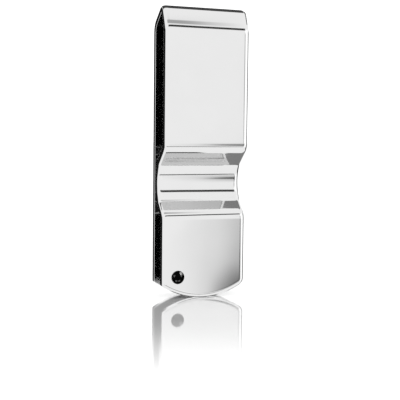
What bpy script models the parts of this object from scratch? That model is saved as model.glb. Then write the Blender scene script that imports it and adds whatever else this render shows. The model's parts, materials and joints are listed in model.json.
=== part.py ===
"""Money clip: a strip of spring steel folded once, with one round stone set flush in its front leaf.

The clip stands on its rounded tips with the fold at the top. +Z is up, the front leaf faces -Y, and
the origin is the centre of the clip's box at the height of the tips. Lengths are in metres.
"""

import math

import bmesh
import bpy
from mathutils import Matrix, Vector

MM = 0.001

# The whole clip
LENGTH = 60.0 * MM
WIDTH = 18.2 * MM
DEPTH = 8.2 * MM
STRIP = 1.4 * MM  # thickness of the steel
EDGE_BEVEL = 0.3 * MM
JOIN_GAP = 0.3 * MM  # between pieces that meet face to face

# The fold: an outer bend with a straight shoulder down to each leaf
FOLD_RADIUS = 1.65 * MM  # outside of the bend
FOLD_SET_BACK = 2.9 * MM  # bend centre behind the front face
FOLD_ARM = 0.8 * MM  # straight stretch of each shoulder that belongs to the fold
FRONT_SHOULDER_TILT = math.radians(23.5)  # from vertical
BACK_SHOULDER_TILT = math.radians(55.5)
FRONT_CREASE_RADIUS = 5.0 * MM  # at mid-thickness, where a shoulder meets its leaf
BACK_CREASE_RADIUS = 2.8 * MM

# The pinched waist of the front leaf: two steep flanks down to two shallow slopes that meet in the
# middle. Heights are above the tips, slopes are from vertical, radii are at mid-thickness.
WAIST_GAP = 0.45 * MM  # between the waist and the back leaf
WAIST_HEIGHT = 24.05 * MM
WAIST_SLOPE = math.radians(22.0)
WAIST_RADIUS = 6.8 * MM
UPPER_KNEE_HEIGHT = 27.5 * MM
LOWER_KNEE_HEIGHT = 20.2 * MM
KNEE_RADIUS = 2.2 * MM
UPPER_FLANK_SLOPE = math.radians(49.5)
LOWER_FLANK_SLOPE = math.radians(46.0)
PANEL_BEND_RADIUS = 2.4 * MM
LOWER_PANEL_SET_BACK = 1.2 * MM

# The rounded end that both leaves share
TIP_RADIUS = 16.2 * MM
LEFT_CORNER_RADIUS = 0.6 * MM
RIGHT_CORNER_RADIUS = 1.6 * MM

# The round brilliant-cut stone and its through-drilled seat
STONE_DIAMETER = 2.7 * MM
STONE_CENTRE = (-5.6 * MM, 4.5 * MM)  # across and above the tips
STONE_CROWN = 0.35 * MM
STONE_GIRDLE = 0.08 * MM
STONE_PAVILION = 0.95 * MM
STONE_TABLE = 0.56  # table width over girdle width
STONE_BEZEL = 0.62  # height of the crown's middle corners over the crown's height
STONE_KEEL = 0.78  # depth of the pavilion's lowest ring over the pavilion's depth
STONE_KEEL_WIDTH = 0.25  # that ring's width over girdle width
FACETS = 8
STONE_BELOW_FACE = 0.1 * MM  # the table sits a little under the steel's face
SEAT_CLEARANCE = 0.12 * MM
SEAT_HOLE_RADIUS = 0.7 * MM  # the drilling that runs on through the leaf

# Mesh fineness
ARC_STEP = math.radians(9.0)
TIP_STATIONS = 12
EDGE_SEGMENTS = 2
EDGE_ANGLE = math.radians(50.0)  # edges sharper than this are eased
SEAT_STEPS = 24  # round the drilled seat

FRONT_Y = -DEPTH / 2
BACK_Y = DEPTH / 2


def clear_scene():
    """Empty the file's scene."""
    for old in list(bpy.data.objects):
        bpy.data.objects.remove(old, do_unlink=True)


def make_collection(name):
    """A new collection under the scene's own."""
    made = bpy.data.collections.new(name)
    bpy.context.scene.collection.children.link(made)
    return made


def make_material(name, colour, metallic, roughness):
    """A Principled material of one colour."""
    material = bpy.data.materials.new(name)
    material.use_nodes = True
    shader = material.node_tree.nodes["Principled BSDF"]
    shader.inputs["Base Color"].default_value = (*colour, 1.0)
    shader.inputs["Metallic"].default_value = metallic
    shader.inputs["Roughness"].default_value = roughness
    return material


def add_object(name, mesh, collection, material=None):
    """Link a new object that shows a mesh."""
    made = bpy.data.objects.new(name, mesh)
    collection.objects.link(made)
    if material is not None:
        mesh.materials.append(material)
    return made


# Paths in the YZ plane. A corner is (point, radius), and the steel's outer side is on a path's right.


def right_of(direction):
    """The unit vector to the right of a direction in the YZ plane."""
    return Vector((direction.y, -direction.x)).normalized()


def meet(point_a, along_a, point_b, along_b):
    """Where two lines in the YZ plane cross."""
    across = along_a.x * along_b.y - along_a.y * along_b.x
    apart = point_b - point_a
    return point_a + along_a * ((apart.x * along_b.y - apart.y * along_b.x) / across)


def middle_path(outer):
    """The path at mid-thickness inside an outer path of corners."""
    points = [Vector(point) for point, _ in outer]
    runs = [b - a for a, b in zip(points, points[1:])]
    inward = [right_of(run) * (-STRIP / 2) for run in runs]
    middle = [points[0] + inward[0]]
    for i in range(1, len(runs)):
        middle.append(meet(points[i] + inward[i - 1], runs[i - 1], points[i] + inward[i], runs[i]))
    middle.append(points[-1] + inward[-1])
    return [(point, radius) for point, (_, radius) in zip(middle, outer)]


def rounded(path):
    """Points along a path, with an arc of each corner's radius."""
    points = [path[0][0]]
    for (before, _), (corner, radius), (after, _) in zip(path, path[1:], path[2:]):
        back = (before - corner).normalized()
        on = (after - corner).normalized()
        half = back.angle(on) / 2
        centre = corner + (back + on).normalized() * (radius / math.sin(half))
        start = corner + back * (radius / math.tan(half)) - centre
        end = corner + on * (radius / math.tan(half)) - centre
        turn = start.angle_signed(end)
        steps = max(2, round(abs(turn) / ARC_STEP))
        for i in range(steps + 1):
            angle = -turn * i / steps
            points.append(centre + Matrix.Rotation(angle, 2) @ start)
    points.append(path[-1][0])
    return points


def fold_corner():
    """Where the two shoulders' outer faces would meet, and both creases."""
    centre = Vector((FRONT_Y + FOLD_SET_BACK, LENGTH - FOLD_RADIUS))
    front_out = Vector((-math.cos(FRONT_SHOULDER_TILT), math.sin(FRONT_SHOULDER_TILT)))
    back_out = Vector((math.cos(BACK_SHOULDER_TILT), math.sin(BACK_SHOULDER_TILT)))
    front_along = Vector((-front_out.y, front_out.x))
    back_along = Vector((-back_out.y, back_out.x))
    on_front = centre + front_out * FOLD_RADIUS
    on_back = centre + back_out * FOLD_RADIUS
    upright = Vector((0.0, 1.0))
    apex = meet(on_front, front_along, on_back, back_along)
    front_crease = meet(on_front, front_along, Vector((FRONT_Y, 0.0)), upright)
    back_crease = meet(on_back, back_along, Vector((BACK_Y, 0.0)), upright)
    return apex, front_crease, back_crease


def waist_corners():
    """The outer face's corners from the upper panel's foot to the lower panel's head."""
    depth = DEPTH - 2 * STRIP - WAIST_GAP
    face_radius = WAIST_RADIUS - STRIP / 2
    middle = depth + face_radius * (1 / math.cos(WAIST_SLOPE) - 1)
    upper_knee = middle - (UPPER_KNEE_HEIGHT - WAIST_HEIGHT) * math.tan(WAIST_SLOPE)
    lower_knee = middle - (WAIST_HEIGHT - LOWER_KNEE_HEIGHT) * math.tan(WAIST_SLOPE)
    top = UPPER_KNEE_HEIGHT + upper_knee / math.tan(UPPER_FLANK_SLOPE)
    drop = (lower_knee - LOWER_PANEL_SET_BACK) / math.tan(LOWER_FLANK_SLOPE)
    return [
        ((FRONT_Y, top), PANEL_BEND_RADIUS),
        ((FRONT_Y + upper_knee, UPPER_KNEE_HEIGHT), KNEE_RADIUS),
        ((FRONT_Y + middle, WAIST_HEIGHT), WAIST_RADIUS),
        ((FRONT_Y + lower_knee, LOWER_KNEE_HEIGHT), KNEE_RADIUS),
        ((FRONT_Y + LOWER_PANEL_SET_BACK, LOWER_KNEE_HEIGHT - drop), PANEL_BEND_RADIUS),
    ]


def strip_corners():
    """The outer face's corners from the back tip, over the fold, to the front tip."""
    apex, front_crease, back_crease = fold_corner()
    up_to_fold = [((BACK_Y, 0.0), 0.0), (back_crease, BACK_CREASE_RADIUS)]
    over = [(apex, FOLD_RADIUS - STRIP / 2), (front_crease, FRONT_CREASE_RADIUS)]
    return up_to_fold + over + waist_corners() + [((FRONT_Y + LOWER_PANEL_SET_BACK, 0.0), 0.0)]


def split_at_fold(path):
    """The mid-thickness path in three: back leaf, fold and front leaf."""
    before, (apex, radius), after = path[1][0], path[2], path[3][0]
    to_back = (before - apex).normalized()
    to_front = (after - apex).normalized()
    arm = radius / math.tan(to_back.angle(to_front) / 2) + FOLD_ARM
    back_end = apex + to_back * (arm + JOIN_GAP)
    front_end = apex + to_front * (arm + JOIN_GAP)
    back = path[:2] + [(back_end, 0.0)]
    fold = [(apex + to_back * arm, 0.0), (apex, radius), (apex + to_front * arm, 0.0)]
    front = [(front_end, 0.0)] + path[3:]
    return back, fold, front


# The rounded tip, in the XZ plane


def corner_arc(radius, side):
    """Points round one lower corner, from the tip's arc to the straight side."""
    arm = math.sqrt((TIP_RADIUS - radius) ** 2 - (WIDTH / 2 - radius) ** 2)
    centre = Vector((WIDTH / 2 - radius, TIP_RADIUS - arm))
    start = math.atan2(centre.y - TIP_RADIUS, centre.x)
    steps = max(3, round(-start / ARC_STEP / 2))
    points = []
    for i in range(steps + 1):
        angle = start * (1 - i / steps)
        x = centre.x + radius * math.cos(angle)
        points.append((side * x, centre.y + radius * math.sin(angle)))
    return points


def tip_outline():
    """The leaf's lower outline from its left side to its right side."""
    left = corner_arc(LEFT_CORNER_RADIUS, -1)[::-1]
    right = corner_arc(RIGHT_CORNER_RADIUS, 1)
    first = math.asin(left[-1][0] / TIP_RADIUS)
    last = math.asin(right[0][0] / TIP_RADIUS)
    bottom = []
    for i in range(1, TIP_STATIONS):
        angle = first + (last - first) * i / TIP_STATIONS
        bottom.append((TIP_RADIUS * math.sin(angle), TIP_RADIUS * (1 - math.cos(angle))))
    return left + bottom + right


def bent_sheet(name, points, tip_at_start=False, tip_at_end=False):
    """An open sheet swept across the clip's width, with a rounded tip where asked."""
    outline = tip_outline()
    sheet = bmesh.new()
    rows = []
    for i, point in enumerate(points):
        is_tip = (i == 0 and tip_at_start) or (i == len(points) - 1 and tip_at_end)
        row = []
        for x, tip_z in outline:
            row.append(sheet.verts.new((x, point.x, tip_z if is_tip else point.y)))
        rows.append(row)
    for upper, lower in zip(rows, rows[1:]):
        for i in range(len(outline) - 1):
            sheet.faces.new((upper[i], lower[i], lower[i + 1], upper[i + 1]))
    bmesh.ops.recalc_face_normals(sheet, faces=sheet.faces)
    mesh = bpy.data.meshes.new(name)
    sheet.to_mesh(mesh)
    sheet.free()
    return mesh


def thicken(sheet):
    """Give a sheet the steel's thickness and eased edges."""
    solid = sheet.modifiers.new("thickness", "SOLIDIFY")
    solid.thickness = STRIP
    solid.offset = 0.0
    solid.use_even_offset = True
    bevel = sheet.modifiers.new("eased_edges", "BEVEL")
    bevel.width = EDGE_BEVEL
    bevel.segments = EDGE_SEGMENTS
    bevel.limit_method = "ANGLE"
    bevel.angle_limit = EDGE_ANGLE


def make_strip(collection, steel):
    """The three solids of the folded strip."""
    back, fold, front = split_at_fold(middle_path(strip_corners()))
    back_leaf = add_object(
        "back_leaf", bent_sheet("back_leaf", rounded(back), tip_at_start=True), collection, steel
    )
    spring_fold = add_object("spring_fold", bent_sheet("spring_fold", rounded(fold)), collection, steel)
    front_leaf = add_object(
        "front_leaf", bent_sheet("front_leaf", rounded(front), tip_at_end=True), collection, steel
    )
    for leaf in (back_leaf, spring_fold, front_leaf):
        thicken(leaf)
    return back_leaf, spring_fold, front_leaf


# The stone and its seat. Both are built on a vertical axis and then laid to face forward.


def ring(count, radius, height, phase):
    """Points evenly spaced round the vertical axis, turned on by a share of their spacing."""
    points = []
    for i in range(count):
        angle = 2 * math.pi * (i + phase) / count
        points.append((radius * math.cos(angle), radius * math.sin(angle), height))
    return points


def brilliant_points():
    """Corner points of a round brilliant with its girdle at height 0 and its table up."""
    girdle = STONE_DIAMETER / 2
    table = girdle * STONE_TABLE
    points = ring(FACETS, table, STONE_GIRDLE + STONE_CROWN, 0.0)
    points += ring(FACETS, (girdle + table) / 2, STONE_GIRDLE + STONE_CROWN * STONE_BEZEL, 0.5)
    points += ring(2 * FACETS, girdle, STONE_GIRDLE, 0.0)
    points += ring(2 * FACETS, girdle, 0.0, 0.0)
    points += ring(FACETS, girdle * STONE_KEEL_WIDTH, -STONE_PAVILION * STONE_KEEL, 0.5)
    points.append((0.0, 0.0, -STONE_PAVILION))
    return points


def face_forward(table_height):
    """Turn +Z to -Y and put the given height a little below the lower panel's face."""
    face_y = FRONT_Y + LOWER_PANEL_SET_BACK + STONE_BELOW_FACE
    move = Matrix.Translation((STONE_CENTRE[0], face_y + table_height, STONE_CENTRE[1]))
    return move @ Matrix.Rotation(math.radians(90.0), 4, "X")


def make_stone(collection, black):
    """The stone, as the hull of its facets' corners."""
    gem = bmesh.new()
    for point in brilliant_points():
        gem.verts.new(point)
    bmesh.ops.convex_hull(gem, input=gem.verts)
    bmesh.ops.recalc_face_normals(gem, faces=gem.faces)
    mesh = bpy.data.meshes.new("stone")
    gem.to_mesh(mesh)
    gem.free()
    stone = add_object("stone", mesh, collection, black)
    stone.matrix_world = face_forward(STONE_GIRDLE + STONE_CROWN)
    return stone


def cut_seat(leaf, cutters):
    """Drill and countersink the leaf for the stone."""
    girdle = STONE_DIAMETER / 2 + SEAT_CLEARANCE
    above = STONE_GIRDLE + STONE_CROWN + STONE_BELOW_FACE + EDGE_BEVEL
    below = STRIP + EDGE_BEVEL
    shelf = -(girdle - SEAT_HOLE_RADIUS) * STONE_PAVILION / (STONE_DIAMETER / 2)
    profile = [
        (0.0, above),
        (girdle, above),
        (girdle, -SEAT_CLEARANCE),
        (SEAT_HOLE_RADIUS, shelf - SEAT_CLEARANCE),
        (SEAT_HOLE_RADIUS, -below),
        (0.0, -below),
    ]
    turned = bmesh.new()
    points = [turned.verts.new((radius, 0.0, height)) for radius, height in profile]
    for a, b in zip(points, points[1:]):
        turned.edges.new((a, b))
    mesh = bpy.data.meshes.new("seat_cutter")
    turned.to_mesh(mesh)
    turned.free()
    cutter = add_object("seat_cutter", mesh, cutters)
    screw = cutter.modifiers.new("turned", "SCREW")
    screw.steps = SEAT_STEPS
    screw.render_steps = SEAT_STEPS
    screw.use_merge_vertices = True
    screw.merge_threshold = 0.01 * MM
    cutter.matrix_world = face_forward(STONE_GIRDLE + STONE_CROWN)
    cutter.hide_render = True
    cutter.display_type = "WIRE"
    seat = leaf.modifiers.new("stone_seat", "BOOLEAN")
    seat.operation = "DIFFERENCE"
    seat.solver = "EXACT"
    seat.object = cutter


def put_origin(piece, origin):
    """Move an object's origin without moving its shape."""
    piece.data.transform(Matrix.Translation(-Vector(origin)))
    piece.location = origin


def main():
    clear_scene()
    clip = make_collection("money_clip")
    cutters = make_collection("cutters")
    steel = make_material("polished_steel", (0.80, 0.80, 0.81), 1.0, 0.08)
    black = make_material("black_stone", (0.01, 0.01, 0.012), 0.0, 0.03)

    back_leaf, spring_fold, front_leaf = make_strip(clip, steel)
    cut_seat(front_leaf, cutters)
    stone = make_stone(clip, black)

    # The front leaf flexes about the centre of the bend, and the stone goes with it.
    bend_axis = (0.0, FRONT_Y + FOLD_SET_BACK, LENGTH - FOLD_RADIUS)
    put_origin(front_leaf, bend_axis)
    bpy.context.view_layer.update()
    stone.parent = front_leaf
    stone.matrix_parent_inverse = front_leaf.matrix_world.inverted()


main()
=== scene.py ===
"""Money clip: one folded strip of mirror-polished steel with a black stone set flush in its front leaf.

The strip follows the CAD's path and is swept here with finely eased edges, in three pieces that meet
without a step: the back leaf, the fold and the front leaf. Lengths are in metres.
"""

import json
import math

import bmesh
import bpy
from mathutils import Matrix, Vector
from mathutils.geometry import tessellate_polygon


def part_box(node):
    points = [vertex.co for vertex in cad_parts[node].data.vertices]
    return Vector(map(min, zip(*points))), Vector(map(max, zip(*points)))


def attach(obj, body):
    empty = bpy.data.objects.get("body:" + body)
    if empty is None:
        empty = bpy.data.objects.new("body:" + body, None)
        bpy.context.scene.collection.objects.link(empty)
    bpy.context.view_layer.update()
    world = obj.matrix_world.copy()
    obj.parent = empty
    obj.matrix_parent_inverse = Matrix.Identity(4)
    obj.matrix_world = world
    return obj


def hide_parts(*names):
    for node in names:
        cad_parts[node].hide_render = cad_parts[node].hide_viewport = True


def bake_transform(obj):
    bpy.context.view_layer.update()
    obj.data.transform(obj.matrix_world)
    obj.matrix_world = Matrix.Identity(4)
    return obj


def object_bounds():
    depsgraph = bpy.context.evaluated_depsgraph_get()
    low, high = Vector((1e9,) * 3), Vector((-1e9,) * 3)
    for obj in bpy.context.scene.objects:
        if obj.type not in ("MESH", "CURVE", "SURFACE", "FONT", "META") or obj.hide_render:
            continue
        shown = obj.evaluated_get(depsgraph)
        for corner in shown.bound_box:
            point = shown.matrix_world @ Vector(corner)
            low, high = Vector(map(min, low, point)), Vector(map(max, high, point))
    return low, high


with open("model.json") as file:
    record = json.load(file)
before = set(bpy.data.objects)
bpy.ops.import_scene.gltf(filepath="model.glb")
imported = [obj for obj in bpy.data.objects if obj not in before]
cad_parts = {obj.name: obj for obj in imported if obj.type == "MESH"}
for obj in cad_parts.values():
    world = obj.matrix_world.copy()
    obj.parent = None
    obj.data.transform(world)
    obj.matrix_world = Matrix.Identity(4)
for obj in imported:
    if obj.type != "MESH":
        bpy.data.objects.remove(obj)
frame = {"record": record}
cad_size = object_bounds()

MM = 0.001

# From the frame
LOW, HIGH = cad_size
FRONT_Y = LOW.y
BACK_Y = HIGH.y
LENGTH = HIGH.z
WIDTH = HIGH.x - LOW.x
JOINT = frame["record"]["behaviour"]["joints"][0]
BEND_AXIS = Vector(JOINT["pos_m"])
STONE_LOW, STONE_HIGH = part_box("stone")
STONE_X = (STONE_LOW.x + STONE_HIGH.x) / 2
STONE_Z = (STONE_LOW.z + STONE_HIGH.z) / 2
STONE_RADIUS = (STONE_HIGH.z - STONE_LOW.z) / 2

# The strip
STRIP = 1.4 * MM  # thickness of the steel
FACE_EASE = 1.05 * MM  # width of the soft edge on the outer face
FACE_DROP = 0.45 * MM  # its depth
INNER_EASE = 0.1 * MM  # radius of the edge on the inner face
EASE_STEPS = 10
INNER_STEPS = 4
SUPPORT = 0.04 * MM  # narrow flat row beside each rounding, which keeps the flats truly flat
ACROSS = 24  # columns across the strip
WELD = 0.0005 * MM  # vertices nearer than this are one
SHARP_ANGLE = math.radians(32.0)  # edges sharper than this are not smoothed

# The path of the outer face, as in the CAD
FOLD_RADIUS = LENGTH - BEND_AXIS.z
FOLD_ARM = 1.1 * MM  # straight stretch of each shoulder that belongs to the fold
FRONT_SHOULDER_TILT = math.radians(23.5)  # from vertical
BACK_SHOULDER_TILT = math.radians(55.5)
FRONT_CREASE_RADIUS = 5.0 * MM  # at mid-thickness, as the radii below
BACK_CREASE_RADIUS = 2.8 * MM
WAIST_GAP = 0.45 * MM
WAIST_HEIGHT = 24.05 * MM
WAIST_SLOPE = math.radians(22.0)
WAIST_RADIUS = 6.8 * MM
UPPER_KNEE_HEIGHT = 27.5 * MM
LOWER_KNEE_HEIGHT = 20.2 * MM
KNEE_RADIUS = 2.2 * MM
UPPER_FLANK_SLOPE = math.radians(49.5)
LOWER_FLANK_SLOPE = math.radians(46.0)
PANEL_BEND_RADIUS = 2.4 * MM
LOWER_PANEL_SET_BACK = 1.2 * MM
ARC_STEP = math.radians(1.5)

# The rounded end that both leaves share
TIP_RADIUS = 16.2 * MM
LEFT_CORNER_RADIUS = 0.6 * MM
RIGHT_CORNER_RADIUS = 1.6 * MM
TIP_TOP = 8.0 * MM  # below this height a leaf is flat and follows the tip's outline
CORNER_STEPS = 14
TIP_STEPS = 60

# The seat of the stone
SEAT_RADIUS = STONE_RADIUS + 0.03 * MM
SEAT_LIP = 0.07 * MM  # radius of the seat's rim
SEAT_HOLE_RADIUS = 0.7 * MM
SEAT_SHELF = 1.1 * MM  # depth of the seat
LIP_STEPS = 4
TURN_STEPS = 96

# The stone
STONE_CROWN = 0.35 * MM
STONE_GIRDLE = 0.08 * MM
STONE_PAVILION = 0.95 * MM
STONE_TABLE = 0.56  # table width over girdle width
STONE_BEZEL = 0.55  # height of the crown's middle corners over the crown's height
STONE_KEEL = 0.78  # depth of the pavilion's lowest ring over the pavilion's depth
STONE_KEEL_WIDTH = 0.25  # that ring's width over girdle width
STONE_BELOW_FACE = 0.1 * MM  # the table sits a little under the steel's face
FACETS = 8
GIRDLE_FACETS = 32
FLAT_FACET = math.radians(1.0)  # triangles that meet more flatly than this are one facet
# Painted highlights on the stone: some crown facets get a painted glint (full reflection) and a few near
# the upper right get a painted flash (bright metal)
PAINTED_GLINT_INNER = 0.5  # the crown's painted glints lie between these shares of the girdle's radius
PAINTED_GLINT_OUTER = 0.9
PAINTED_GLINT_TURNS = 5.0  # groups of painted glints round the crown
PAINTED_GLINT_SHARE = 0.35  # a higher value leaves fewer facets with a painted glint
PAINTED_FLASH_INNER = 0.75  # outside this share only the facets with a painted flash shine
PAINTED_FLASH_START = 30.0  # degrees from the clip's right, upwards, where the painted flash sits
PAINTED_FLASH_END = 60.0

# The floor is polished round a place just in front of the clip
POLISH_CENTRE = (-5.0 * MM, -16.0 * MM, 0.0)
POLISH_INNER = 6.0 * MM  # fully polished inside this radius
POLISH_OUTER = 46.0 * MM  # dull outside this one
POLISH = 0.5
FLOOR_RADIUS = 3.0

# The studio
TENT_STRENGTH = 1.28
OVERHEAD_SIZE = 0.7
OVERHEAD_HEIGHT = 0.6
OVERHEAD_WATTS = 1.0
CARD_DISTANCE = 0.4  # from the clip's middle, unless a card says otherwise

# The camera
CAMERA_PLACE = Vector((-60.9 * MM, -166.1 * MM, 34.2 * MM))
CAMERA_YAW = math.radians(20.17)
CAMERA_PITCH = math.radians(-4.51)
CAMERA_ROLL = math.radians(0.63)
CAMERA_LENS = 75.8


# Paths in the YZ plane. A corner is (point, radius), and the steel's outer side is on a path's right.


def right_of(direction):
    """The unit vector to the right of a direction in the YZ plane."""
    return Vector((direction.y, -direction.x)).normalized()


def meet(point_a, along_a, point_b, along_b):
    """Where two lines in the YZ plane cross."""
    across = along_a.x * along_b.y - along_a.y * along_b.x
    apart = point_b - point_a
    return point_a + along_a * ((apart.x * along_b.y - apart.y * along_b.x) / across)


def middle_path(outer):
    """The path at mid-thickness inside an outer path of corners."""
    points = [Vector(point) for point, _ in outer]
    runs = [b - a for a, b in zip(points, points[1:])]
    inward = [right_of(run) * (-STRIP / 2) for run in runs]
    middle = [points[0] + inward[0]]
    for i in range(1, len(runs)):
        middle.append(meet(points[i] + inward[i - 1], runs[i - 1], points[i] + inward[i], runs[i]))
    middle.append(points[-1] + inward[-1])
    return [(point, radius) for point, (_, radius) in zip(middle, outer)]


def stations(path):
    """(point, outward normal) along a path, with fine arcs and a support beside each."""
    first = path[0][0]
    rows = [(first, right_of(path[1][0] - first))]
    for (before, _), (corner, radius), (after, _) in zip(path, path[1:], path[2:]):
        back = (before - corner).normalized()
        on = (after - corner).normalized()
        half = back.angle(on) / 2
        centre = corner + (back + on).normalized() * (radius / math.sin(half))
        start = corner + back * (radius / math.tan(half))
        end = corner + on * (radius / math.tan(half))
        turn = (start - centre).angle_signed(end - centre)
        steps = max(4, round(abs(turn) / ARC_STEP))
        rows.append((start + back * SUPPORT, right_of(-back)))
        for i in range(steps + 1):
            spin = Matrix.Rotation(-turn * i / steps, 2)
            rows.append((centre + spin @ (start - centre), spin @ right_of(-back)))
        rows.append((end + on * SUPPORT, right_of(on)))
    last = path[-1][0]
    rows.append((last, right_of(last - path[-2][0])))
    return rows


def fold_corner():
    """Where the two shoulders' outer faces would meet, and both creases."""
    centre = Vector((BEND_AXIS.y, BEND_AXIS.z))
    front_out = Vector((-math.cos(FRONT_SHOULDER_TILT), math.sin(FRONT_SHOULDER_TILT)))
    back_out = Vector((math.cos(BACK_SHOULDER_TILT), math.sin(BACK_SHOULDER_TILT)))
    front_along = Vector((-front_out.y, front_out.x))
    back_along = Vector((-back_out.y, back_out.x))
    on_front = centre + front_out * FOLD_RADIUS
    on_back = centre + back_out * FOLD_RADIUS
    upright = Vector((0.0, 1.0))
    apex = meet(on_front, front_along, on_back, back_along)
    front_crease = meet(on_front, front_along, Vector((FRONT_Y, 0.0)), upright)
    back_crease = meet(on_back, back_along, Vector((BACK_Y, 0.0)), upright)
    return apex, front_crease, back_crease


def waist_corners():
    """The outer face's corners from the upper panel's foot to the lower panel's head."""
    depth = BACK_Y - FRONT_Y - 2 * STRIP - WAIST_GAP
    face_radius = WAIST_RADIUS - STRIP / 2
    middle = depth + face_radius * (1 / math.cos(WAIST_SLOPE) - 1)
    upper_knee = middle - (UPPER_KNEE_HEIGHT - WAIST_HEIGHT) * math.tan(WAIST_SLOPE)
    lower_knee = middle - (WAIST_HEIGHT - LOWER_KNEE_HEIGHT) * math.tan(WAIST_SLOPE)
    top = UPPER_KNEE_HEIGHT + upper_knee / math.tan(UPPER_FLANK_SLOPE)
    drop = (lower_knee - LOWER_PANEL_SET_BACK) / math.tan(LOWER_FLANK_SLOPE)
    return [
        ((FRONT_Y, top), PANEL_BEND_RADIUS),
        ((FRONT_Y + upper_knee, UPPER_KNEE_HEIGHT), KNEE_RADIUS),
        ((FRONT_Y + middle, WAIST_HEIGHT), WAIST_RADIUS),
        ((FRONT_Y + lower_knee, LOWER_KNEE_HEIGHT), KNEE_RADIUS),
        ((FRONT_Y + LOWER_PANEL_SET_BACK, LOWER_KNEE_HEIGHT - drop), PANEL_BEND_RADIUS),
    ]


def strip_paths():
    """The mid-thickness paths of the back leaf, the fold and the front leaf."""
    apex, front_crease, back_crease = fold_corner()
    up_to_fold = [((BACK_Y, TIP_TOP), 0.0), (back_crease, BACK_CREASE_RADIUS)]
    over = [(apex, FOLD_RADIUS - STRIP / 2), (front_crease, FRONT_CREASE_RADIUS)]
    down = waist_corners() + [((FRONT_Y + LOWER_PANEL_SET_BACK, TIP_TOP), 0.0)]
    path = middle_path(up_to_fold + over + down)
    before, (peak, radius), after = path[1][0], path[2], path[3][0]
    to_back = (before - peak).normalized()
    to_front = (after - peak).normalized()
    arm = radius / math.tan(to_back.angle(to_front) / 2) + FOLD_ARM
    back_seam = (peak + to_back * arm, 0.0)
    front_seam = (peak + to_front * arm, 0.0)
    return path[:2] + [back_seam], [back_seam, path[2], front_seam], [front_seam] + path[3:]


# The strip's section and the tip's outline


def section():
    """(inset, depth below the outer face) down one side of the strip."""
    points = [(FACE_EASE + SUPPORT, 0.0)]
    for i in range(EASE_STEPS + 1):
        angle = math.pi / 2 * i / EASE_STEPS
        points.append((FACE_EASE * (1 - math.sin(angle)), FACE_DROP * (1 - math.cos(angle))))
    points.append((0.0, FACE_DROP + SUPPORT))
    points.append((0.0, STRIP - INNER_EASE - SUPPORT))
    for i in range(INNER_STEPS + 1):
        angle = math.pi / 2 * i / INNER_STEPS
        drop = INNER_EASE * (1 - math.sin(angle))
        points.append((INNER_EASE * (1 - math.cos(angle)), STRIP - drop))
    points.append((INNER_EASE + SUPPORT, STRIP))
    return points


def corner_arc(radius, side, inset):
    """Points round one lower corner at an inset, from the tip's arc to the straight side."""
    tip = TIP_RADIUS - inset
    half = WIDTH / 2 - inset
    radius = max(radius - inset, 0.0)
    rise = TIP_RADIUS - math.sqrt((tip - radius) ** 2 - (half - radius) ** 2)
    start = math.atan2(rise - TIP_RADIUS, half - radius)
    points = []
    for i in range(CORNER_STEPS + 1):
        angle = start * (1 - i / CORNER_STEPS)
        x = half - radius + radius * math.cos(angle)
        points.append((side * x, rise + radius * math.sin(angle)))
    return points


def tip_outline(inset):
    """The leaf's lower outline at an inset, from its left side to its right side."""
    left = corner_arc(LEFT_CORNER_RADIUS, -1, inset)[::-1]
    right = corner_arc(RIGHT_CORNER_RADIUS, 1, inset)
    tip = TIP_RADIUS - inset
    first = math.asin(left[-1][0] / tip)
    last = math.asin(right[0][0] / tip)
    bottom = []
    for i in range(1, TIP_STEPS):
        angle = first + (last - first) * i / TIP_STEPS
        bottom.append((tip * math.sin(angle), TIP_RADIUS - tip * math.cos(angle)))
    return left + bottom + right


# Mesh pieces


def across_row(mesh, row, inset, depth):
    """Vertices across the strip at one station, between the two sides' insets."""
    point, normal = row
    place = point + normal * (STRIP / 2 - depth)
    half = WIDTH / 2 - inset
    return [mesh.verts.new((half * (2 * i / ACROSS - 1), place.x, place.y)) for i in range(ACROSS + 1)]


def side_column(mesh, row, side):
    """Vertices down one side of the strip at one station, from outer face to inner face."""
    point, normal = row
    column = []
    for inset, depth in section()[1:-1]:
        place = point + normal * (STRIP / 2 - depth)
        column.append(mesh.verts.new((side * (WIDTH / 2 - inset), place.x, place.y)))
    return column


def ring_of(mesh, row):
    """A whole section's vertices: outer face left to right, right side, inner face, left side."""
    profile = section()
    outer = across_row(mesh, row, *profile[0])
    right = side_column(mesh, row, 1)
    inner = across_row(mesh, row, *profile[-1])
    left = side_column(mesh, row, -1)
    return outer + right + inner[::-1] + left[::-1]


def skin(mesh, upper, lower, closed=True):
    """Faces between two rows of vertices."""
    count = len(upper)
    for i in range(count if closed else count - 1):
        j = (i + 1) % count
        mesh.faces.new((upper[i], upper[j], lower[j], lower[i]))


def swept(mesh, rows):
    """The closed skin of a stretch of strip, and its first and last rings."""
    rings = [ring_of(mesh, row) for row in rows]
    for upper, lower in zip(rings, rings[1:]):
        skin(mesh, upper, lower)
    return rings[0], rings[-1]


def cap(mesh, ring):
    """A flat end."""
    mesh.faces.new(ring).smooth = False


def fill(mesh, loops):
    """A flat face inside a closed loop of vertices, round the holes that the other loops bound."""
    corners = [corner for loop in loops for corner in loop]
    for triangle in tessellate_polygon([[corner.co for corner in loop] for loop in loops]):
        mesh.faces.new([corners[i] for i in triangle])


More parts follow.
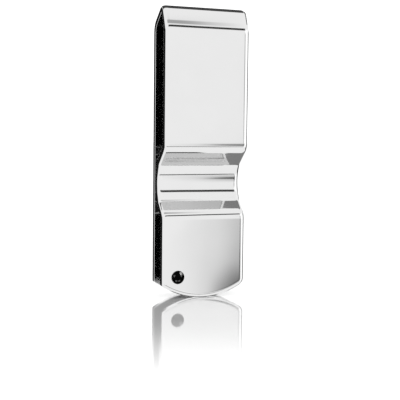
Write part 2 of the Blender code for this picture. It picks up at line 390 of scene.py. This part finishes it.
def tip(mesh, ring, row, seat=None):
    """The flat lower end of a leaf, from a ring at TIP_TOP down round the tip's outline."""
    profile = section()
    point, normal = row
    columns = []
    for inset, depth in profile:
        y = point.x + normal.x * (STRIP / 2 - depth)
        columns.append([mesh.verts.new((x, y, z)) for x, z in tip_outline(inset)])
    for upper, lower in zip(columns, columns[1:]):
        skin(mesh, upper, lower, closed=False)

    side = len(profile) - 2
    outer = ring[: ACROSS + 1]
    right = ring[ACROSS + 1 : ACROSS + 1 + side]
    inner = ring[ACROSS + 1 + side : 2 * ACROSS + 2 + side]
    left = ring[2 * ACROSS + 2 + side :][::-1]
    left_side = [outer[0]] + left + [inner[-1]]
    right_side = [outer[-1]] + right + [inner[0]]
    skin(mesh, left_side, [column[0] for column in columns], closed=False)
    skin(mesh, right_side, [column[-1] for column in columns], closed=False)

    outer_loops = [outer + columns[0][::-1]]
    inner_loops = [inner + columns[-1]]
    if seat:
        face = point.x + normal.x * STRIP / 2
        rings = [turned_ring(mesh, radius, face - normal.x * depth) for radius, depth in seat]
        for upper, lower in zip(rings, rings[1:]):
            skin(mesh, upper, lower)
        outer_loops.append(rings[0])
        inner_loops.append(rings[-1])
    fill(mesh, outer_loops)
    fill(mesh, inner_loops)


def turned_ring(mesh, radius, y):
    """A ring of vertices round the stone's axis."""
    ring = []
    for i in range(TURN_STEPS):
        angle = 2 * math.pi * i / TURN_STEPS
        x = STONE_X + radius * math.cos(angle)
        ring.append(mesh.verts.new((x, y, STONE_Z + radius * math.sin(angle))))
    return ring


def seat_profile():
    """(radius, depth) down the stone's seat and on through the leaf."""
    points = [(SEAT_RADIUS + SEAT_LIP + SUPPORT, 0.0)]
    for i in range(LIP_STEPS + 1):
        angle = math.pi / 2 * i / LIP_STEPS
        points.append((SEAT_RADIUS + SEAT_LIP * (1 - math.sin(angle)), SEAT_LIP * (1 - math.cos(angle))))
    points.append((SEAT_RADIUS, STONE_BELOW_FACE + STONE_CROWN + STONE_GIRDLE))
    points.append((SEAT_HOLE_RADIUS, SEAT_SHELF))
    points.append((SEAT_HOLE_RADIUS, STRIP - SUPPORT))
    points.append((SEAT_HOLE_RADIUS + SUPPORT, STRIP))
    return points


def finish_mesh(name, mesh, material):
    """Close a mesh's seams, smooth it and show it."""
    bmesh.ops.remove_doubles(mesh, verts=mesh.verts, dist=WELD)
    bmesh.ops.recalc_face_normals(mesh, faces=mesh.faces)
    for face in mesh.faces:
        face.smooth = True
    data = bpy.data.meshes.new(name)
    mesh.to_mesh(data)
    mesh.free()
    data.set_sharp_from_angle(angle=SHARP_ANGLE)
    data.materials.append(material)
    made = bpy.data.objects.new(name, data)
    bpy.context.scene.collection.objects.link(made)
    return made


def leaf(name, path, material, tip_first=False, seat=None):
    """A leaf of the strip with its rounded tip."""
    rows = stations(path)
    if tip_first:
        rows = rows[::-1]
    mesh = bmesh.new()
    top, bottom = swept(mesh, rows)
    cap(mesh, top)
    tip(mesh, bottom, rows[-1], seat)
    return finish_mesh(name, mesh, material)


def fold(name, path, material):
    """The bend between the leaves."""
    mesh = bmesh.new()
    top, bottom = swept(mesh, stations(path))
    cap(mesh, top)
    cap(mesh, bottom)
    return finish_mesh(name, mesh, material)


def stone_ring(count, radius, height, phase):
    """Points evenly spaced round the stone's axis, turned on by a share of their spacing."""
    points = []
    for i in range(count):
        angle = 2 * math.pi * (i + phase) / count
        points.append((radius * math.cos(angle), radius * math.sin(angle), height))
    return points


def painted_facet_highlights(centre):
    """A facet's place in the gem's list of materials: black, painted glint or painted flash (a painted
    highlight near the upper right).
    """
    out = math.hypot(centre.x, centre.y) / STONE_RADIUS
    angle = math.degrees(math.atan2(centre.y, centre.x))
    if centre.z < STONE_GIRDLE or not PAINTED_GLINT_INNER < out < PAINTED_GLINT_OUTER:
        return 0
    if out > PAINTED_FLASH_INNER:
        return 2 if PAINTED_FLASH_START < angle < PAINTED_FLASH_END else 0
    return 1 if math.sin(math.radians(PAINTED_GLINT_TURNS * angle)) > PAINTED_GLINT_SHARE else 0


def brilliant(name, materials):
    """The round brilliant, its facets flat."""
    girdle = STONE_RADIUS
    table = girdle * STONE_TABLE
    top = STONE_GIRDLE + STONE_CROWN
    points = stone_ring(FACETS, table, top, 0.0)
    points += stone_ring(FACETS, (girdle + table) / 2, STONE_GIRDLE + STONE_CROWN * STONE_BEZEL, 0.5)
    points += stone_ring(GIRDLE_FACETS, girdle, STONE_GIRDLE, 0.0)
    points += stone_ring(GIRDLE_FACETS, girdle, 0.0, 0.0)
    points += stone_ring(FACETS, girdle * STONE_KEEL_WIDTH, -STONE_PAVILION * STONE_KEEL, 0.5)
    points.append((0.0, 0.0, -STONE_PAVILION))
    gem = bmesh.new()
    for point in points:
        gem.verts.new(point)
    bmesh.ops.convex_hull(gem, input=gem.verts)
    bmesh.ops.dissolve_limit(gem, angle_limit=FLAT_FACET, verts=gem.verts, edges=gem.edges)
    bmesh.ops.recalc_face_normals(gem, faces=gem.faces)
    # Each facet gets black, a painted glint or a painted flash by its place on the crown
    for face in gem.faces:
        face.material_index = painted_facet_highlights(face.calc_center_median())
    face_y = FRONT_Y + LOWER_PANEL_SET_BACK + STONE_BELOW_FACE
    place = Matrix.Translation((STONE_X, face_y + top, STONE_Z)) @ Matrix.Rotation(math.pi / 2, 4, "X")
    gem.transform(place)
    data = bpy.data.meshes.new(name)
    gem.to_mesh(data)
    gem.free()
    for material in materials:
        data.materials.append(material)
    made = bpy.data.objects.new(name, data)
    bpy.context.scene.collection.objects.link(made)
    return made


# Materials


def new_material(name):
    """A node material and its shader."""
    material = bpy.data.materials.new(name)
    material.use_nodes = True
    return material, material.node_tree, material.node_tree.nodes["Principled BSDF"]


def noise(tree, scale, detail, vector=None):
    """Noise in an object's own space, or on a vector."""
    made = tree.nodes.new("ShaderNodeTexNoise")
    made.inputs["Scale"].default_value = scale
    made.inputs["Detail"].default_value = detail
    if vector is None:
        vector = tree.nodes.new("ShaderNodeTexCoord").outputs["Object"]
    tree.links.new(vector, made.inputs["Vector"])
    return made.outputs["Fac"]


def spread(tree, value, low, high):
    """A value from 0 to 1 spread between low and high."""
    made = tree.nodes.new("ShaderNodeMapRange")
    made.inputs["To Min"].default_value = low
    made.inputs["To Max"].default_value = high
    tree.links.new(value, made.inputs["Value"])
    return made.outputs["Result"]


def paint_grey(tree, shader, tone):
    """Make a tone the shader's base colour."""
    colour = tree.nodes.new("ShaderNodeCombineColor")
    for channel in ("Red", "Green", "Blue"):
        tree.links.new(tone, colour.inputs[channel])
    tree.links.new(colour.outputs["Color"], shader.inputs["Base Color"])


def bump(tree, height, strength, distance):
    """A bump node on a height."""
    made = tree.nodes.new("ShaderNodeBump")
    made.inputs["Strength"].default_value = strength
    made.inputs["Distance"].default_value = distance
    tree.links.new(height, made.inputs["Height"])
    return made


def polished_steel():
    """Mirror steel with faint polishing haze, hairlines along the strip and a slight sway."""
    material, tree, shader = new_material("mirror_steel")
    shader.inputs["Metallic"].default_value = 1.0
    haze = noise(tree, 180.0, 3.0)
    paint_grey(tree, shader, spread(tree, haze, 0.625, 0.655))
    tree.links.new(spread(tree, haze, 0.035, 0.075), shader.inputs["Roughness"])

    stretch = tree.nodes.new("ShaderNodeMapping")
    stretch.inputs["Scale"].default_value = (9000.0, 900.0, 120.0)
    place = tree.nodes.new("ShaderNodeTexCoord")
    tree.links.new(place.outputs["Object"], stretch.inputs["Vector"])
    hairlines = bump(tree, noise(tree, 1.0, 4.0, stretch.outputs["Vector"]), 0.02, 0.002 * MM)
    sway = bump(tree, noise(tree, 110.0, 0.0), 1.0, 0.06 * MM)
    tree.links.new(sway.outputs["Normal"], hairlines.inputs["Normal"])
    tree.links.new(hairlines.outputs["Normal"], shader.inputs["Normal"])
    return material


def black_gem(name, shine):
    """Opaque black stone with faint depth variation and a facet's shine, from 0 to 1: at 0 the facet
    reflects nothing, at 1 it carries a painted glint.
    """
    material, tree, shader = new_material(name)
    paint_grey(tree, shader, spread(tree, noise(tree, 1500.0, 2.0), 0.001, 0.004))
    shader.inputs["Roughness"].default_value = 0.02
    shader.inputs["IOR"].default_value = 1.5
    # The shine sets the facet's reflection strength: full shine is the painted glint copy
    shader.inputs["Specular IOR Level"].default_value = shine
    return material


def painted_flash_facet():
    """Bright metal on a facet: a painted flash of light."""
    material, tree, shader = new_material("painted_flash_facet")
    # Painted highlight: bright grey metal colour on the flash facets
    paint_grey(tree, shader, spread(tree, noise(tree, 3000.0, 2.0), 0.2, 0.6))
    shader.inputs["Metallic"].default_value = 1.0
    shader.inputs["Roughness"].default_value = 0.05
    return material


def floor_material():
    """Pale table, polished round the clip and duller further off."""
    material, tree, shader = new_material("pale_floor")
    nodes, links = tree.nodes, tree.links
    shader.inputs["Base Color"].default_value = (0.80, 0.80, 0.80, 1.0)
    shader.inputs["Roughness"].default_value = 0.05
    shader.inputs["IOR"].default_value = 2.0
    place = nodes.new("ShaderNodeTexCoord")
    far = nodes.new("ShaderNodeVectorMath")
    far.operation = "DISTANCE"
    far.inputs[1].default_value = POLISH_CENTRE
    links.new(place.outputs["Object"], far.inputs[0])
    polish = nodes.new("ShaderNodeMapRange")
    polish.interpolation_type = "SMOOTHSTEP"
    polish.inputs["From Min"].default_value = POLISH_INNER
    polish.inputs["From Max"].default_value = POLISH_OUTER
    polish.inputs["To Min"].default_value = POLISH
    polish.inputs["To Max"].default_value = 0.0
    links.new(far.outputs["Value"], polish.inputs["Value"])
    links.new(polish.outputs["Result"], shader.inputs["Specular IOR Level"])
    links.new(polish.outputs["Result"], shader.inputs["Metallic"])
    return material


def make_light():
    """A broad soft light over the clip, for the floor."""
    data = bpy.data.lights.new("overhead", "AREA")
    data.shape = "DISK"
    data.size = OVERHEAD_SIZE
    data.energy = OVERHEAD_WATTS
    made = bpy.data.objects.new("overhead", data)
    bpy.context.scene.collection.objects.link(made)
    made.location = (0.0, 0.0, OVERHEAD_HEIGHT)
    made.visible_glossy = False


# Studio


def make_floor():
    """A broad flat floor under the tips, out of the mirror steel's sight."""
    mesh = bmesh.new()
    bmesh.ops.create_circle(mesh, cap_ends=True, segments=64, radius=FLOOR_RADIUS)
    data = bpy.data.meshes.new("floor")
    mesh.to_mesh(data)
    mesh.free()
    data.materials.append(floor_material())
    made = bpy.data.objects.new("floor", data)
    bpy.context.scene.collection.objects.link(made)
    made.visible_glossy = False
    return made


def card(name, azimuth, elevation, width, height, strength, soft, distance=CARD_DISTANCE):
    """A soft-edged card that faces the clip and shows only in its reflections.

    Azimuth is from the front towards the clip's right, elevation above the horizon, and width and height
    the angles that it covers, all in degrees. Soft is the share of its half-width that fades out.
    """
    a, e = math.radians(azimuth), math.radians(elevation)
    away = Vector((math.sin(a) * math.cos(e), -math.cos(a) * math.cos(e), math.sin(e)))
    half_width = distance * math.tan(math.radians(width / 2))
    half_height = distance * math.tan(math.radians(height / 2))
    middle = Vector((0.0, 0.0, LENGTH / 2))
    place = (
        Matrix.Translation(middle + away * distance)
        @ away.to_track_quat("Z", "Y").to_matrix().to_4x4()
        @ Matrix.Diagonal((half_width, half_height, 1.0, 1.0))
    )
    return add_card(name, place, strength, soft)


def flat_card(name, centre, half, turn, strength, soft):
    """A level square card near the clip. Its centre and half its side are in millimetres."""
    half *= MM
    place = (
        Matrix.Translation(Vector(centre) * MM)
        @ Matrix.Rotation(math.radians(turn), 4, "Z")
        @ Matrix.Diagonal((half, half, 1.0, 1.0))
    )
    return add_card(name, place, strength, soft)


def add_card(name, place, strength, soft):
    """A card on a two-by-two square that a matrix puts in place."""
    mesh = bmesh.new()
    bmesh.ops.create_grid(mesh, x_segments=1, y_segments=1, size=1.0)
    data = bpy.data.meshes.new(name)
    mesh.to_mesh(data)
    mesh.free()
    made = bpy.data.objects.new(name, data)
    bpy.context.scene.collection.objects.link(made)
    made.matrix_world = place
    data.materials.append(card_material(name, strength, soft))
    for sight in ("visible_camera", "visible_diffuse", "visible_transmission", "visible_shadow"):
        setattr(made, sight, False)
    return made


def card_material(name, strength, soft):
    """Even light that fades out over the soft share of the card's half-width."""
    material = bpy.data.materials.new(name)
    material.use_nodes = True
    nodes, links = material.node_tree.nodes, material.node_tree.links
    nodes.clear()
    out = nodes.new("ShaderNodeOutputMaterial")
    light = nodes.new("ShaderNodeEmission")
    light.inputs["Strength"].default_value = strength
    clear = nodes.new("ShaderNodeBsdfTransparent")
    mix = nodes.new("ShaderNodeMixShader")
    place = nodes.new("ShaderNodeTexCoord")
    split = nodes.new("ShaderNodeSeparateXYZ")
    links.new(place.outputs["Object"], split.inputs["Vector"])
    masks = []
    for axis in ("X", "Y"):
        size = nodes.new("ShaderNodeMath")
        size.operation = "ABSOLUTE"
        links.new(split.outputs[axis], size.inputs[0])
        mask = nodes.new("ShaderNodeMapRange")
        mask.interpolation_type = "SMOOTHSTEP"
        mask.inputs["From Min"].default_value = 1.0 - soft
        mask.inputs["From Max"].default_value = 1.0
        mask.inputs["To Min"].default_value = 1.0
        mask.inputs["To Max"].default_value = 0.0
        links.new(size.outputs["Value"], mask.inputs["Value"])
        masks.append(mask)
    both = nodes.new("ShaderNodeMath")
    both.operation = "MULTIPLY"
    links.new(masks[0].outputs["Result"], both.inputs[0])
    links.new(masks[1].outputs["Result"], both.inputs[1])
    links.new(both.outputs["Value"], mix.inputs["Fac"])
    links.new(clear.outputs["BSDF"], mix.inputs[1])
    links.new(light.outputs["Emission"], mix.inputs[2])
    links.new(mix.outputs["Shader"], out.inputs["Surface"])
    return material


def make_world():
    """An even white tent."""
    world = bpy.data.worlds.new("white_tent")
    bpy.context.scene.world = world
    world.use_nodes = True
    back = world.node_tree.nodes["Background"]
    back.inputs["Color"].default_value = (1.0, 1.0, 1.0, 1.0)
    back.inputs["Strength"].default_value = TENT_STRENGTH


def make_camera():
    """The photograph's viewpoint: to the left of the front, a little above the clip's middle."""
    data = bpy.data.cameras.new("camera")
    data.lens = CAMERA_LENS
    data.clip_start = 0.005
    data.clip_end = 20.0
    made = bpy.data.objects.new("camera", data)
    bpy.context.scene.collection.objects.link(made)
    made.matrix_world = (
        Matrix.Translation(CAMERA_PLACE)
        @ Matrix.Rotation(-CAMERA_YAW, 4, "Z")
        @ Matrix.Rotation(math.pi / 2 + CAMERA_PITCH, 4, "X")
        @ Matrix.Rotation(CAMERA_ROLL, 4, "Z")
    )
    bpy.context.scene.camera = made


def make_clip():
    """The pieces of the clip on their bodies."""
    steel = polished_steel()
    back_path, fold_path, front_path = strip_paths()
    back = leaf("back_leaf_polished", back_path, steel, tip_first=True)
    bend = fold("fold_polished", fold_path, steel)
    front = leaf("front_leaf_polished", front_path, steel, seat=seat_profile())
    # The stone's black facets, its facets with a painted glint and its facets with a painted flash
    facets = [black_gem("black_gem", 0.0), black_gem("painted_glint_gem", 1.0), painted_flash_facet()]
    gem = brilliant("stone_faceted", facets)
    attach(back, "back_leaf")
    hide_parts("back_leaf")
    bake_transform(bend)
    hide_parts("spring_fold")
    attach(front, "front_leaf")
    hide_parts("front_leaf")
    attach(gem, "front_leaf")
    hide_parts("stone")


def make_cards():
    """Black flags and brighter panels that give the steel its contrast."""
    # Both sides of the strip
    card("flag_side", -121.0, -16.0, 108.0, 68.0, 0.012, soft=0.12)
    card("flag_back_right", 98.0, -9.0, 54.0, 54.0, 0.0, soft=0.12)
    card("panel_right", 50.0, 0.0, 46.0, 60.0, 1.65, soft=0.3)
    # The fall-off towards the right of both panels
    card("flag_corner", 25.0, -15.6, 9.0, 9.0, 0.0, soft=0.9)
    card("grey_corner", 31.0, -15.0, 28.0, 36.0, 0.1, soft=1.0)
    card("grey_right", 30.0, 6.0, 13.0, 34.0, 0.5, soft=1.0)
    # The lines along the crease and the waist
    card("line_high", 14.0, 30.0, 40.0, 10.0, 0.05, soft=0.45)
    card("line_low", 5.0, -32.0, 46.0, 4.5, 0.2, soft=0.3)
    card("grey_high", 5.0, 51.0, 40.0, 18.0, 0.55, soft=0.5, distance=0.15)
    # The bend on top, the right ends of the flanks, and the edge of the tips
    flat_card("flag_top_back", (-10.0, 32.2, 88.0), 40.0, -6.0, 0.08, 0.04)
    flat_card("flag_top", (48.2, 5.9, 90.0), 19.0, -30.0, 0.3, 0.04)
    flat_card("flag_low", (68.8, 36.0, -30.0), 40.0, 0.0, 0.3, 0.02)
    flat_card("flag_under", (6.0, 3.0, -30.0), 17.0, 0.0, 0.02, 0.2)


def main():
    make_clip()
    make_floor()
    make_cards()
    make_light()
    make_world()
    make_camera()
    bpy.context.scene.view_settings.view_transform = "Standard"


main()
